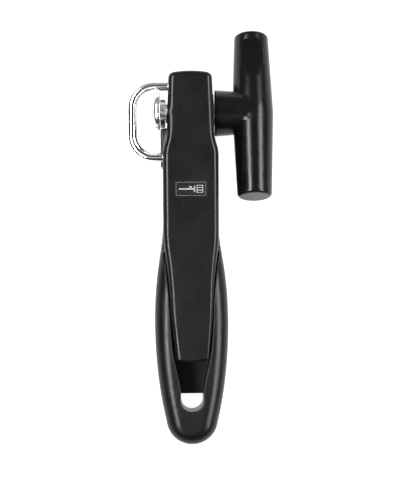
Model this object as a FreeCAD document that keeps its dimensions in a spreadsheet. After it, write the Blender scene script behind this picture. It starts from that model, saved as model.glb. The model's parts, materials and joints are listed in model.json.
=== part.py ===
import FreeCAD, Part
import math
import os
import Sketcher

Vector = FreeCAD.Vector
Placement = FreeCAD.Placement
Rotation = FreeCAD.Rotation

# Manual can opener, lying on its flat back. +X points to the turning knob, +Y to the head,
# +Z away from the back face. The origin is on the back face, straight below the drive shaft.
DIMENSIONS = [
    ("head_half", 10.7, "half width of the head at its front"),
    ("neck_half", 11.6, "half width of the head at its shoulders"),
    ("head_side", 11.0, "plane of the bushes at the head's side"),
    ("body_half", 13.75, "half width of the middle"),
    ("grip_half", 18.35, "largest half width of the grip"),
    ("head_front", 19.6, "front end of the head from the shaft"),
    ("head_crown", 0.55, "bow of the head's front end"),
    ("corner_radius", 3.0, "plan radius of the head's front corners"),
    ("shoulder_front", 9.5, "where the head starts to widen"),
    ("shoulder_rear", 22.0, "where the middle has its full width"),
    ("groove_start", 58.0, "where the lever dips into the grip"),
    ("lever_length", 123.6, "rear end of the lever from the shaft"),
    ("lever_tip_half", 8.3, "half width of the lever's rear end"),
    ("tip_bow", 1.2, "bow of the lever's rear end"),
    ("waist_front", 77.0, "first place where the strap's width is given"),
    ("waist_front_half", 12.0, "half width of the strap there"),
    ("waist_rear", 101.0, "second place where the strap's width is given"),
    ("waist_rear_half", 10.4, "half width of the strap there"),
    ("grip_length", 165.8, "rear end of the grip from the shaft"),
    ("grip_end_radius", 12.9, "plan radius of the grip's end"),
    ("face_head", 39.8, "height of the lever face at the head front"),
    ("face_tip", 25.6, "height of the lever face at its rear end"),
    ("under_head", 25.0, "height of the lever's underside at the shaft"),
    ("under_tip", 19.4, "height of the lever's underside at its rear end"),
    ("face_fillet", 2.9, "rounding of the lever's long edges"),
    ("tip_fillet", 1.1, "rounding of those edges at the lever's rear end"),
    ("parting_gap", 0.4, "gap between lever and shell"),
    ("groove_gap", 0.35, "side gap of the lever in its groove"),
    ("grip_fillet", 7.6, "rounding of the grip's upper edge"),
    ("back_fillet", 6.0, "rounding of the grip's back edge"),
    ("head_back_fillet", 2.5, "rounding of the head's back edge"),
    ("hinge_front", 13.0, "hinge of the lever, in front of the shaft"),
    ("hinge_height", 27.2, "height of the hinge"),
    ("wire_radius", 2.3, "radius of the guide wire"),
    ("bail_reach", 28.7, "middle of the wire's long side from the centre"),
    ("bail_rear", 22.0, "rear leg of the wire behind the shaft"),
    ("bail_bend", 10.8, "bend radius of the wire"),
    ("cheek_radius", 5.9, "rounding of the lever's cheeks about the hinge"),
    ("cheek_room_rear", 4.0, "rear wall of the step under the lever's cheeks"),
    ("tongue_half", 5.6, "half width of the shell's hinge tongue"),
    ("tongue_radius", 4.8, "rounding of the tongue about the hinge"),
    ("slot_half", 6.0, "half width of the lever's slot for the tongue"),
    ("hinge_stop", 9.6, "blind end of the wire in the lever's right cheek"),
    ("badge_front", 34.6, "front edge of the badge behind the shaft"),
    ("badge_rear", 41.5, "rear edge of the badge behind the shaft"),
    ("badge_half", 8.0, "half width of the badge"),
    ("knob_height", 19.5, "height of the drive shaft"),
    ("knob_tilt", 15.5, "resting tilt of the knob's bar in degrees"),
    ("shaft_radius", 2.75, "radius of the drive shaft"),
    ("shaft_play", 0.05, "radial clearance of the shaft"),
    ("bush_radius", 4.2, "outer radius of the shaft bushes"),
    ("flange_radius", 4.7, "radius of the bush flanges"),
    ("boss_radius", 9.6, "boss of the head round the shaft"),
    ("boss_face", 11.7, "outer face of the boss"),
    ("feed_inner", 12.3, "inner face of the feed wheel"),
    ("feed_width", 2.4, "thickness of the feed wheel"),
    ("feed_radius", 7.0, "radius of the feed wheel"),
    ("feed_teeth", 42, "teeth of the feed wheel"),
    ("tooth_depth", 0.7, "depth of the feed wheel's teeth"),
    ("cutter_inner", 14.9, "inner face of the cutting disc"),
    ("cutter_width", 3.8, "thickness of the cutting disc"),
    ("cutter_radius", 9.2, "radius of the cutting disc"),
    ("cutter_height", 33.9, "height of the cutting disc's axle"),
    ("rivet_radius", 4.2, "radius of the rivet head in the disc's outer face"),
    ("rivet_depth", 1.0, "depth of the disc's recess for the rivet head"),
    ("axle_radius", 2.5, "radius of the cutting disc's axle"),
    ("hub_inner", 12.3, "inner face of the knob's hub"),
    ("hub_radius", 11.55, "radius of the hub's inner end"),
    ("bar_reach", 31.4, "middle of the knob's bar from the centre"),
    ("bar_half", 42.5, "half length of the knob's bar"),
    ("bar_shift", 1.2, "offset of the bar's middle from the shaft, along the bar"),
    ("bar_middle", 10.25, "radius of the bar at its middle"),
    ("bar_tip", 8.55, "radius of the bar at its ends"),
    ("scoop_radius", 30.0, "radius of the thumb scoops"),
    ("scoop_depth", 1.8, "depth of the thumb scoops"),
    ("scoop_place", 29.5, "middle of a thumb scoop along the bar"),
    ("floor_height", 5.2, "floor of the finger recess"),
    ("recess_step", 117.6, "front wall of the finger recess, under the lever's end"),
    ("recess_end", 140.8, "front edge of the hanging hole"),
    ("hole_end", 148.7, "rear edge of the hanging hole"),
    ("hole_half", 5.6, "half width of the hanging hole"),
    ("lip_round", 0.6, "rounding of the groove's upper edge"),
    ("cavity_half", 7.6, "half width of the hollow in the shell"),
    ("cavity_head_top", 22.4, "top of the hollow in the head"),
    ("cavity_grip_top", 14.5, "top of the hollow in the grip"),
    ("cavity_rear", 115.0, "rear end of the hollow"),
    ("cover_thick", 2.2, "thickness of the rear cover"),
    ("cover_half", 9.0, "half width of the rear cover"),
    ("cover_front", 12.0, "front end of the rear cover"),
    ("cover_rear", 124.0, "rear end of the rear cover"),
    ("screw_radius", 1.5, "radius of the small screws"),
    ("screw_head", 2.9, "head radius of the small screws"),
    ("plate_thick", 2.0, "thickness of the steel strap"),
    ("plate_half", 6.0, "half width of the steel strap"),
    ("edge_round", 0.4, "rounding of moulded edges"),
    ("pin_radius", 1.0, "radius of the knob's cross pin"),
    ("pin_depth", 4.6, "blind end of the cross pin above the shaft's axis"),
    ("pin_place", 18.0, "cross pin from the centre"),
    ("lug_reach", 14.7, "outer face of the lug behind the feed wheel"),
    ("lug_front", 7.5, "front face of that lug behind the shaft"),
    ("lug_rear", 26.8, "rear face of that lug behind the shaft"),
    ("lug_low", 5.0, "lower face of that lug"),
    ("lug_round", 1.2, "rounding of the lug's outer edges"),
    ("post_radius", 3.6, "radius of the posts for the cover's screws"),
    ("bracket_thick", 1.6, "thickness of the steel bracket"),
    ("bracket_low", 3.4, "lower face of the steel bracket"),
    ("badge_depth", 0.6, "depth of the badge's seat"),
    ("badge_thick", 0.75, "thickness of the badge plate"),
]
COVER_SCREWS = [-24.0, -70.0, -112.0]  # places of the rear cover's screws along the handle
PLATE_SCREWS = [-30.0, -62.0, -106.0]  # places of the screws in the lever's strap

doc = FreeCAD.newDocument("can_opener")
sheet = doc.addObject("Spreadsheet::Sheet", "dims")
for row, (alias, size, note) in enumerate(DIMENSIONS, start=1):
    sheet.set(f"A{row}", alias)
    sheet.set(f"B{row}", str(size))
    sheet.setAlias(f"B{row}", alias)
    sheet.set(f"C{row}", note)
doc.recompute()
pieces = []


def size_of(rule):
    """Number that a rule such as "dims.head_half + 1" gives."""
    return float(sheet.evalExpression(rule))


def new_body(name):
    """Empty body with the given name."""
    body = doc.addObject("PartDesign::Body", name)
    body.Label = name
    return body


def keep(piece, name):
    """Mark a finished piece, which is written to its own file."""
    piece.Label = name
    pieces.append(piece)
    return piece


def new_sketch(body, name, plane, offset="0"):
    """Sketch on one of the body's own planes, moved along its normal by the offset's rule."""
    sketch = body.newObject("Sketcher::SketchObject", name)
    support = next(item for item in body.Origin.OriginFeatures if item.Role == plane)
    sketch.AttachmentSupport = [(support, "")]
    sketch.MapMode = "FlatFace"
    sketch.setExpression("AttachmentOffset.Base.z", offset)
    return sketch


def tie(sketch, kind, rule, *places):
    """Dimension in a sketch that follows a rule."""
    index = sketch.addConstraint(Sketcher.Constraint(kind, *places, size_of(rule)))
    sketch.setExpression(f"Constraints[{index}]", rule)


def draw_circle(sketch, across, up, radius):
    """Circle whose place and radius follow rules."""
    centre = Vector(size_of(across), size_of(up), 0)
    ring = sketch.addGeometry(Part.Circle(centre, Vector(0, 0, 1), size_of(radius)))
    tie(sketch, "Radius", radius, ring)
    tie(sketch, "DistanceX", across, -1, 1, ring, 3)
    tie(sketch, "DistanceY", up, -1, 1, ring, 3)


def draw_box(sketch, left, right, low, high):
    """Upright rectangle whose four sides follow rules."""
    x0, x1, y0, y1 = (size_of(rule) for rule in (left, right, low, high))
    corners = [Vector(x0, y0, 0), Vector(x1, y0, 0), Vector(x1, y1, 0), Vector(x0, y1, 0)]
    sides = [Part.LineSegment(corners[k], corners[(k + 1) % 4]) for k in range(4)]
    first = sketch.addGeometry(sides)[0]
    for k in range(4):
        sketch.addConstraint(Sketcher.Constraint("Coincident", first + k, 2, first + (k + 1) % 4, 1))
    for k, kind in enumerate(["Horizontal", "Vertical", "Horizontal", "Vertical"]):
        sketch.addConstraint(Sketcher.Constraint(kind, first + k))
    tie(sketch, "DistanceX", left, -1, 1, first, 1)
    tie(sketch, "DistanceY", low, -1, 1, first, 1)
    tie(sketch, "DistanceX", right, -1, 1, first + 2, 1)
    tie(sketch, "DistanceY", high, -1, 1, first + 2, 1)


def draw_polygon(sketch, points):
    """Closed outline of straight lines."""
    corners = [Vector(x, y, 0) for x, y in points]
    for k, corner in enumerate(corners):
        sketch.addGeometry(Part.LineSegment(corner, corners[(k + 1) % len(corners)]))


def curve_through(points, start=None, finish=None):
    """Smooth curve through places, with its directions at both ends if they are given."""
    curve = Part.BSplineCurve()
    ends = {}
    if start:
        ends = {"InitialTangent": Vector(*start, 0), "FinalTangent": Vector(*finish, 0)}
    curve.interpolate(Points=[Vector(x, y, 0) for x, y in points], **ends)
    return curve


def pad(body, sketch, length, name):
    """Solid that stands on a sketch."""
    feature = body.newObject("PartDesign::Pad", name)
    feature.Profile = sketch
    feature.setExpression("Length", length)
    doc.recompute()
    return feature


def pocket(body, sketch, length, name):
    """Cut from the sketch along its normal, and make sure that it took something away."""
    before = body.Shape.Volume
    feature = body.newObject("PartDesign::Pocket", name)
    feature.Profile = sketch
    feature.Reversed = True
    feature.setExpression("Length", length)
    doc.recompute()
    if body.Shape.Volume >= before - 1e-3:
        raise ValueError(f"{name} cuts nothing")
    return feature


def round_edges(body, wanted, radius, name):
    """Fillet the edges of the body's tip that the test picks."""
    tip = body.Tip
    names = [f"Edge{k}" for k, edge in enumerate(tip.Shape.Edges, start=1) if wanted(edge)]
    fillet = body.newObject("PartDesign::Fillet", name)
    fillet.Base = (tip, names)
    fillet.setExpression("Radius", radius)
    doc.recompute()
    return fillet


def revolve(body, sketch, name):
    """Turn a profile about the sketch's horizontal axis."""
    feature = body.newObject("PartDesign::Revolution", name)
    feature.Profile = sketch
    feature.ReferenceAxis = (sketch, ["H_Axis"])
    feature.Angle = 360
    doc.recompute()
    return feature


def turned_piece(name, profile, front, height):
    """Round piece about an axis along X: its profile is a list of (x, radius) corners."""
    body = new_body(name)
    sketch = new_sketch(body, name + "_profile", "XZ_Plane")
    draw_polygon(sketch, profile)
    revolve(body, sketch, name + "_turned")
    body.setExpression("Placement.Base.y", front)
    body.setExpression("Placement.Base.z", height)
    return body


def cylinder_x(name, radius, start, end, front, height):
    """Solid cylinder along X, used as a cutter or a boss."""
    cylinder = doc.addObject("Part::Cylinder", name)
    cylinder.setExpression("Radius", radius)
    cylinder.setExpression("Height", f"({end}) - ({start})")
    cylinder.Placement = Placement(Vector(), Rotation(Vector(0, 1, 0), 90))
    cylinder.setExpression("Placement.Base.x", start)
    cylinder.setExpression("Placement.Base.y", front)
    cylinder.setExpression("Placement.Base.z", height)
    return cylinder


def cylinder_z(name, radius, low, high, across, front):
    """Solid cylinder along Z."""
    cylinder = doc.addObject("Part::Cylinder", name)
    cylinder.setExpression("Radius", radius)
    cylinder.setExpression("Height", f"({high}) - ({low})")
    cylinder.setExpression("Placement.Base.x", across)
    cylinder.setExpression("Placement.Base.y", front)
    cylinder.setExpression("Placement.Base.z", low)
    return cylinder


def block(name, left, right, rear, front, low, high):
    """Solid box whose six sides follow rules."""
    box = doc.addObject("Part::Box", name)
    box.setExpression("Length", f"({right}) - ({left})")
    box.setExpression("Width", f"({front}) - ({rear})")
    box.setExpression("Height", f"({high}) - ({low})")
    box.setExpression("Placement.Base.x", left)
    box.setExpression("Placement.Base.y", rear)
    box.setExpression("Placement.Base.z", low)
    return box


def joined(name, shapes):
    """All shapes in one solid."""
    fuse = doc.addObject("Part::MultiFuse", name)
    fuse.Shapes = shapes
    fuse.Refine = True
    doc.recompute()
    return fuse


def cut_away(name, base, tools):
    """Base less all tools."""
    cut = doc.addObject("Part::Cut", name)
    cut.Base = base
    cut.Tool = tools[0] if len(tools) == 1 else joined(name + "_tools", tools)
    doc.recompute()
    if cut.Shape.Volume >= base.Shape.Volume - 1e-3:
        raise ValueError(f"{name} cuts nothing")
    return cut


def rounded(name, base, wanted, radius):
    """Base with the picked edges rounded; radius is a dimension, or a rule of the place on an edge."""
    rule = radius if callable(radius) else lambda place: size_of(radius)
    fillet = doc.addObject("Part::Fillet", name)
    fillet.Base = base
    fillet.Edges = [(k, rule(edge.valueAt(edge.FirstParameter)), rule(edge.valueAt(edge.LastParameter)))
                    for k, edge in enumerate(base.Shape.Edges, start=1) if wanted(edge.BoundBox, edge)]
    doc.recompute()
    return fillet


# ---- outlines that the lever and the shell share ----

def mirrored(curves):
    """Outline's right side, front to rear, followed by its mirror image, rear to front."""
    other = [curve.copy() for curve in reversed(curves)]
    for curve in other:
        curve.mirror(Vector(), Vector(0, 1, 0))
    return list(curves) + other


def bend(first, leaving, last, arriving, reach):
    """Smooth curve from one place to another that leaves and arrives in the given directions."""
    curve = Part.BezierCurve()
    curve.setPoles([first, first + leaving * reach, last - arriving * reach, last])
    return curve.toBSpline()


def head_side():
    """Right side of the head and the middle, from the front's middle to where the lever narrows."""
    half = size_of("dims.head_half")
    neck = Vector(size_of("dims.neck_half"), -size_of("dims.shoulder_front"), 0)
    middle = Vector(size_of("dims.body_half"), -size_of("dims.shoulder_rear"), 0)
    front = size_of("dims.head_front")
    radius = size_of("dims.corner_radius")
    bow = size_of("dims.head_crown")
    corner = Vector(half - radius, front - bow, 0)
    sweep = (corner.x ** 2 + bow ** 2) / (2 * bow)
    turn = math.asin(corner.x / sweep)
    half_turn = Vector(sweep * math.sin(turn / 2), front - sweep * (1 - math.cos(turn / 2)), 0)
    side = Vector(half, front - bow - radius, 0)
    down = (neck - side).normalize()
    rear = Vector(0, -1, 0)
    return [
        Part.Arc(Vector(0, front, 0), half_turn, corner),
        bend(corner, Vector(math.cos(turn), -math.sin(turn), 0), side, down, 0.55 * radius),
        Part.LineSegment(side, neck),
        bend(neck, down, middle, rear, 0.45 * (neck.y - middle.y)),
        Part.LineSegment(middle, Vector(middle.x, -size_of("dims.groove_start"), 0)),
    ]


def strap_places(grow=0.0):
    """Places on the right side of the strap, where it narrows to the rear."""
    return [(size_of(half) + grow, -size_of(place)) for half, place in [
        ("dims.body_half", "dims.groove_start"),
        ("dims.waist_front_half", "dims.waist_front"),
        ("dims.waist_rear_half", "dims.waist_rear"),
    ]]


def lever_outline():
    """Plan of the lever: head, middle, then the strap that narrows to the rear."""
    tip = size_of("dims.lever_tip_half")
    end = size_of("dims.lever_length")
    bow = size_of("dims.tip_bow")
    strap = curve_through(strap_places() + [(tip, bow - end)], (0, -1), (-0.1, -1))
    crown = Part.Arc(Vector(tip, bow - end, 0), Vector(tip / 2, 0.3 * bow - end, 0), Vector(0, -end, 0))
    return mirrored(head_side() + [strap, crown])


def grip_outline():
    """Plan of the grip: it swells from the middle and closes in a round end."""
    middle = size_of("dims.body_half")
    widest = size_of("dims.grip_half")
    radius = size_of("dims.grip_end_radius")
    end = size_of("dims.grip_length")
    turn = math.radians(12.0)
    last = (radius * math.cos(turn), radius - end - radius * math.sin(turn))
    slope = (-math.sin(turn), -math.cos(turn))
    flank = [(middle, -52.0), (16.5, -77.0), (widest, -104.0), (17.1, -128.5), (15.0, -143.8), last]
    half = math.radians(51.0)
    middle_arc = Vector(radius * math.cos(half), radius - end - radius * math.sin(half), 0)
    return mirrored([
        Part.LineSegment(Vector(0, -48.0, 0), Vector(middle, -48.0, 0)),
        Part.LineSegment(Vector(middle, -48.0, 0), Vector(middle, -52.0, 0)),
        curve_through(flank, (0, -1), slope),
        Part.Arc(Vector(*last, 0), middle_arc, Vector(0, -end, 0)),
    ])


def underside(y, lower=0.0):
    """Height of the lever's underside at a place along it."""
    drop = size_of("dims.under_head") - size_of("dims.under_tip")
    return size_of("dims.under_head") + drop * y / size_of("dims.lever_length") - lower


def face(y):
    """Height of the lever's face at a place along it."""
    length = size_of("dims.lever_length") + size_of("dims.head_front")
    drop = size_of("dims.face_head") - size_of("dims.face_tip")
    return size_of("dims.face_head") + drop * (y - size_of("dims.head_front")) / length


# ---- the handle ----

def head_form():
    """Lower half of the head and the middle, up to the parting line with the lever."""
    body = new_body("head_form")
    plan = new_sketch(body, "head_form_plan", "XY_Plane")
    side = head_side()
    rear = side[-1].EndPoint
    plan.addGeometry(mirrored(side + [Part.LineSegment(rear, Vector(0, rear.y, 0))]), False)
    pad(body, plan, "dims.under_head + 8", "head_form_pad")
    bottom = lambda edge: edge.BoundBox.ZMax < 0.1 and edge.BoundBox.YMax > -57
    round_edges(body, bottom, "dims.head_back_fillet", "head_form_back")
    trim = new_sketch(body, "head_form_side", "YZ_Plane", "-40")
    gap = size_of("dims.parting_gap")
    shelf = size_of("dims.hinge_height - dims.cheek_radius") - gap
    foot = size_of("dims.cheek_room_rear")
    draw_polygon(trim, [(-70, underside(-70, gap)), (foot, underside(foot, gap)), (foot, shelf),
                        (30, shelf), (30, 60), (-70, 60)])
    pocket(body, trim, "80", "head_form_parting")
    return body


def hinge_tongue():
    """Tongue of the shell that carries the lever's hinge."""
    body = new_body("hinge_tongue")
    side = new_sketch(body, "hinge_tongue_side", "YZ_Plane", "-dims.tongue_half")
    pivot = Vector(size_of("dims.hinge_front"), size_of("dims.hinge_height"), 0)
    radius = size_of("dims.tongue_radius")
    left = pivot - Vector(radius, 0, 0)
    right = pivot + Vector(radius, 0, 0)
    foot = 14.0
    side.addGeometry([
        Part.Arc(left, pivot + Vector(0, radius, 0), right),
        Part.LineSegment(right, Vector(right.x, foot, 0)),
        Part.LineSegment(Vector(right.x, foot, 0), Vector(left.x, foot, 0)),
        Part.LineSegment(Vector(left.x, foot, 0), left),
    ], False)
    pad(body, side, "2 * dims.tongue_half", "hinge_tongue_pad")
    return body


def grip_form():
    """Rounded form of the grip before its groove is cut."""
    body = new_body("grip_form")
    plan = new_sketch(body, "grip_form_plan", "XY_Plane")
    plan.addGeometry(grip_outline(), False)
    pad(body, plan, "40", "grip_form_pad")
    trim = new_sketch(body, "grip_form_side", "YZ_Plane", "-40")
    crest = [(-44, 18.6), (-60, 22.6), (-76, 26.4), (-102, 26.0), (-132, 23.6), (-170, 18.6)]
    trim.addGeometry(curve_through(crest), False)
    trim.addGeometry([
        Part.LineSegment(Vector(-170, 18.6, 0), Vector(-170, 60, 0)),
        Part.LineSegment(Vector(-170, 60, 0), Vector(-44, 60, 0)),
        Part.LineSegment(Vector(-44, 60, 0), Vector(-44, 18.6, 0)),
    ], False)
    pocket(body, trim, "80", "grip_form_crest")
    behind = lambda edge: edge.BoundBox.YMin < -48.5 and edge.BoundBox.ZLength < 14
    crest_edge = lambda edge: edge.BoundBox.ZMin > 15 and behind(edge) and edge.BoundBox.YLength > 1
    round_edges(body, crest_edge, "dims.grip_fillet", "grip_form_crest_round")
    back_edge = lambda edge: edge.BoundBox.ZMax < 0.1 and behind(edge) and edge.BoundBox.YLength > 1
    round_edges(body, back_edge, "dims.back_fillet", "grip_form_back_round")
    return body


def groove_outline():
    """Plan of the groove: the lever's outline and its side gap, then in to the hanging hole's sides."""
    gap = size_of("dims.groove_gap")
    middle = size_of("dims.body_half") + gap
    start = -size_of("dims.groove_start")
    front = -50.0
    tip = (size_of("dims.lever_tip_half") + gap, -size_of("dims.lever_length"))
    corner = (size_of("dims.hole_half"), -size_of("dims.recess_end"))
    return mirrored([
        Part.LineSegment(Vector(0, front, 0), Vector(middle, front, 0)),
        Part.LineSegment(Vector(middle, front, 0), Vector(middle, start, 0)),
        curve_through(strap_places(gap) + [tip, corner], (0, -1), (0, -1)),
        Part.LineSegment(Vector(*corner, 0), Vector(0, corner[1], 0)),
    ])


def groove_cutter():
    """Space of the lever in the grip, with the deep finger recess behind the lever."""
    body = new_body("groove_cutter")
    plan = new_sketch(body, "groove_cutter_plan", "XY_Plane")
    plan.addGeometry(groove_outline(), False)
    pad(body, plan, "60", "groove_cutter_pad")
    floor = new_sketch(body, "groove_cutter_floor", "YZ_Plane", "-40")
    gap = size_of("dims.parting_gap")
    deep = size_of("dims.floor_height")
    step = -size_of("dims.recess_step")
    draw_polygon(floor, [(0, -5), (0, underside(0, gap)), (step, underside(step, gap)),
                         (step, deep), (-170, deep), (-170, -5)])
    pocket(body, floor, "80", "groove_cutter_floor_cut")
    return body


def hole_cutter():
    """Hanging hole: straight front edge, half-round rear edge, right through the back."""
    body = new_body("hole_cutter")
    plan = new_sketch(body, "hole_cutter_plan", "XY_Plane", "-2")
    half = size_of("dims.hole_half")
    front = -size_of("dims.recess_end")
    rear = -size_of("dims.hole_end")
    side = rear + half
    plan.addGeometry([
        Part.LineSegment(Vector(-half, front, 0), Vector(half, front, 0)),
        Part.LineSegment(Vector(half, front, 0), Vector(half, side, 0)),
        Part.Arc(Vector(half, side, 0), Vector(0, rear, 0), Vector(-half, side, 0)),
        Part.LineSegment(Vector(-half, side, 0), Vector(-half, front, 0)),
    ], False)
    pad(body, plan, "40", "hole_cutter_pad")
    return body


def screw_post(name, y, top):
    """Round post in the shell that a cover screw bites into."""
    return cylinder_z(name, "dims.post_radius", "dims.cover_thick", top, "0", str(y))


def cover_plan(sketch, grow):
    """Rounded outline of the rear cover."""
    half = size_of("dims.cover_half") + grow
    narrow = size_of("dims.cavity_half") + 0.6 + grow
    front = size_of("dims.cover_front") + grow
    rear = -size_of("dims.cover_rear") - grow
    side = [Part.LineSegment(Vector(0, front, 0), Vector(narrow, front, 0)),
            Part.LineSegment(Vector(narrow, front, 0), Vector(narrow, -22, 0)),
            curve_through([(narrow, -22), (half, -46)], (0, -1), (0, -1)),
            Part.LineSegment(Vector(half, -46, 0), Vector(half, rear + half, 0)),
            Part.Arc(Vector(half, rear + half, 0),
                     Vector(half * math.sqrt(0.5), rear + half - half * math.sqrt(0.5), 0),
                     Vector(0, rear, 0))]
    sketch.addGeometry(mirrored(side), False)


def cover_seat():
    """Seat of the rear cover, a little larger than the cover."""
    body = new_body("cover_seat")
    plan = new_sketch(body, "cover_seat_plan", "XY_Plane", "-1")
    cover_plan(plan, 0.15)
    pad(body, plan, "dims.cover_thick + 1", "cover_seat_pad")
    return body


def lug_form():
    """Lug on the head's left side, behind the feed wheel."""
    body = new_body("lug_form")
    plan = new_sketch(body, "lug_form_side", "YZ_Plane", "-dims.lug_reach")
    draw_box(plan, "-dims.lug_rear", "-dims.lug_front", "dims.lug_low", "dims.under_head - 1.6")
    pad(body, plan, "dims.lug_reach - 6", "lug_form_pad")
    outer = lambda edge: edge.BoundBox.XMax < -size_of("dims.lug_reach") + 0.1
    round_edges(body, outer, "dims.lug_round", "lug_form_round")
    return body


def handle_shell():
    """Moulded grip and head in one piece, hollow from the back."""
    boss = cylinder_x("shaft_boss", "dims.boss_radius", "6", "dims.boss_face", "0", "dims.knob_height")
    boss_top = block("boss_top", "0", "20", "-20", "20", "dims.under_head - 0.9", "40")
    shelf = "dims.hinge_height - dims.cheek_radius - dims.parting_gap"
    cheek_room = block("cheek_room", "0", "dims.neck_half + 0.05", "dims.cheek_room_rear", "20", shelf,
                       "40")
    boss_form = cut_away("boss_form", boss, [boss_top, cheek_room])
    form = joined("shell_form", [head_form(), hinge_tongue(), grip_form(), lug_form(), boss_form])
    hollow = cut_away("shell_hollow", form, [
        block("cavity_head", "-dims.cavity_half", "dims.cavity_half", "-20", "3.4", "1",
              "dims.cavity_head_top"),
        block("cavity_front", "-dims.cavity_half", "dims.cavity_half", "3.3", "8.6", "1", "19.8"),
        block("cavity_grip", "-dims.cavity_half", "dims.cavity_half", "-dims.cavity_rear", "-19.9", "1",
              "dims.cavity_grip_top"),
    ])
    posts = [screw_post(f"screw_post_{k}", y, "dims.cavity_grip_top + 1")
             for k, y in enumerate(COVER_SCREWS)]
    filled = joined("shell_posts", [hollow] + posts)
    bores = [cylinder_z(f"post_bore_{k}", "dims.screw_radius", "0", "12", "0", str(y))
             for k, y in enumerate(COVER_SCREWS)]
    shell = cut_away("handle_shell_cut", filled, [
        groove_cutter(), hole_cutter(), cover_seat(),
        cylinder_x("bush_bore", "dims.bush_radius", "-40", "40", "0", "dims.knob_height"),
        cylinder_x("bush_seat", "dims.flange_radius", "dims.boss_face - 1.2", "40", "0",
                   "dims.knob_height"),
        cylinder_x("wheel_clearance", "8.2", "-40", "-dims.head_side", "0", "dims.knob_height"),
        cylinder_x("hinge_bore", "dims.wire_radius + dims.shaft_play", "-20", "20", "dims.hinge_front",
                   "dims.hinge_height"),
    ] + bores)
    hole_end = -size_of("dims.hole_end")
    back = rounded("hole_back_round", shell, lambda box, edge: (
        box.ZMax < 0.1 and hole_end - 0.1 < box.YMin and box.YMax < -139), "0.8")
    on_lip = lambda box, edge: (box.ZMin > 20.5 and box.YMin > hole_end - 0.1 and box.YMax < -66
                                and box.XLength < 14)
    return keep(rounded("groove_lip_round", back, on_lip, "dims.lip_round"), "handle_shell")


def rear_cover():
    """Flat cover over the hollow, with sunk screw holes."""
    body = new_body("rear_cover")
    plan = new_sketch(body, "rear_cover_plan", "XY_Plane")
    cover_plan(plan, 0.0)
    pad(body, plan, "dims.cover_thick", "rear_cover_pad")
    holes = new_sketch(body, "rear_cover_holes", "XY_Plane", "-1")
    for y in COVER_SCREWS:
        draw_circle(holes, "0", str(y), "dims.screw_radius + 0.2")
    pocket(body, holes, "10", "rear_cover_bores")
    sinks = new_sketch(body, "rear_cover_sinks", "XY_Plane", "-1")
    for y in COVER_SCREWS:
        draw_circle(sinks, "0", str(y), "dims.screw_head + 0.15")
    pocket(body, sinks, "2.2", "rear_cover_counterbores")
    return keep(body, "rear_cover")


def cover_screws():
    """Three pan-head screws, sunk in the rear cover."""
    solids = []
    for y in COVER_SCREWS:
        head = Part.makeCylinder(size_of("dims.screw_head"), 0.9, Vector(0, y, 0.3))
        stem = Part.makeCylinder(size_of("dims.screw_radius"), 10.8, Vector(0, y, 1.2))
        slot = Part.makeBox(3.6, 0.7, 0.5, Vector(-1.8, y - 0.35, 0.3))
        cross = Part.makeBox(0.7, 3.6, 0.5, Vector(-0.35, y - 1.8, 0.3))
        solids.append(head.fuse(stem).cut(slot).cut(cross).removeSplitter())
    group = doc.addObject("Part::Feature", "cover_screws")
    group.Shape = Part.makeCompound(solids)
    return keep(group, "cover_screws")


def frame_bracket():
    """Steel U bracket in the head: two cheeks with bores for the shaft bushes."""
    body = new_body("frame_bracket")
    section = new_sketch(body, "frame_bracket_section", "XZ_Plane", "-7.5")
    thick = size_of("dims.bracket_thick")
    outer = size_of("dims.cavity_half") - 0.1
    inner = outer - thick
    low = size_of("dims.bracket_low")
    top = size_of("dims.cavity_head_top") - 0.3
    draw_polygon(section, [(-outer, top), (-outer, low), (outer, low), (outer, top), (inner, top),
                           (inner, low + thick), (-inner, low + thick), (-inner, top)])
    pad(body, section, "26", "frame_bracket_pad")
    bores = new_sketch(body, "frame_bracket_bores", "YZ_Plane", "-20")
    draw_circle(bores, "0", "dims.knob_height", "dims.bush_radius")
    pocket(body, bores, "40", "frame_bracket_bore")
    opening = new_sketch(body, "frame_bracket_hole", "XY_Plane", "-1")
    draw_circle(opening, "0", "-10", "2.5")
    pocket(body, opening, "8", "frame_bracket_lightening")
    corner = new_sketch(body, "frame_bracket_corner", "YZ_Plane", "-20")
    draw_box(corner, "3.1", "20", "19.4", "40")
    pocket(body, corner, "40", "frame_bracket_step")
    return keep(body, "frame_bracket")


def shaft_bush(name, side):
    """Flanged bush of the drive shaft: the flange is outside the head."""
    bore = size_of("dims.shaft_radius + dims.shaft_play")
    outer = size_of("dims.bush_radius")
    flange = size_of("dims.flange_radius")
    seat = size_of("dims.boss_face") - 1.2 if side > 0 else size_of("dims.head_side")
    face_x = size_of("dims.boss_face") if side > 0 else size_of("dims.head_side") + 1.1
    inside = 5.7
    profile = [(side * inside, bore), (side * inside, outer), (side * seat, outer),
               (side * seat, flange), (side * face_x, flange), (side * face_x, bore)]
    return keep(turned_piece(name, profile, "0", "dims.knob_height"), name)


# ---- the lever ----

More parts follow.
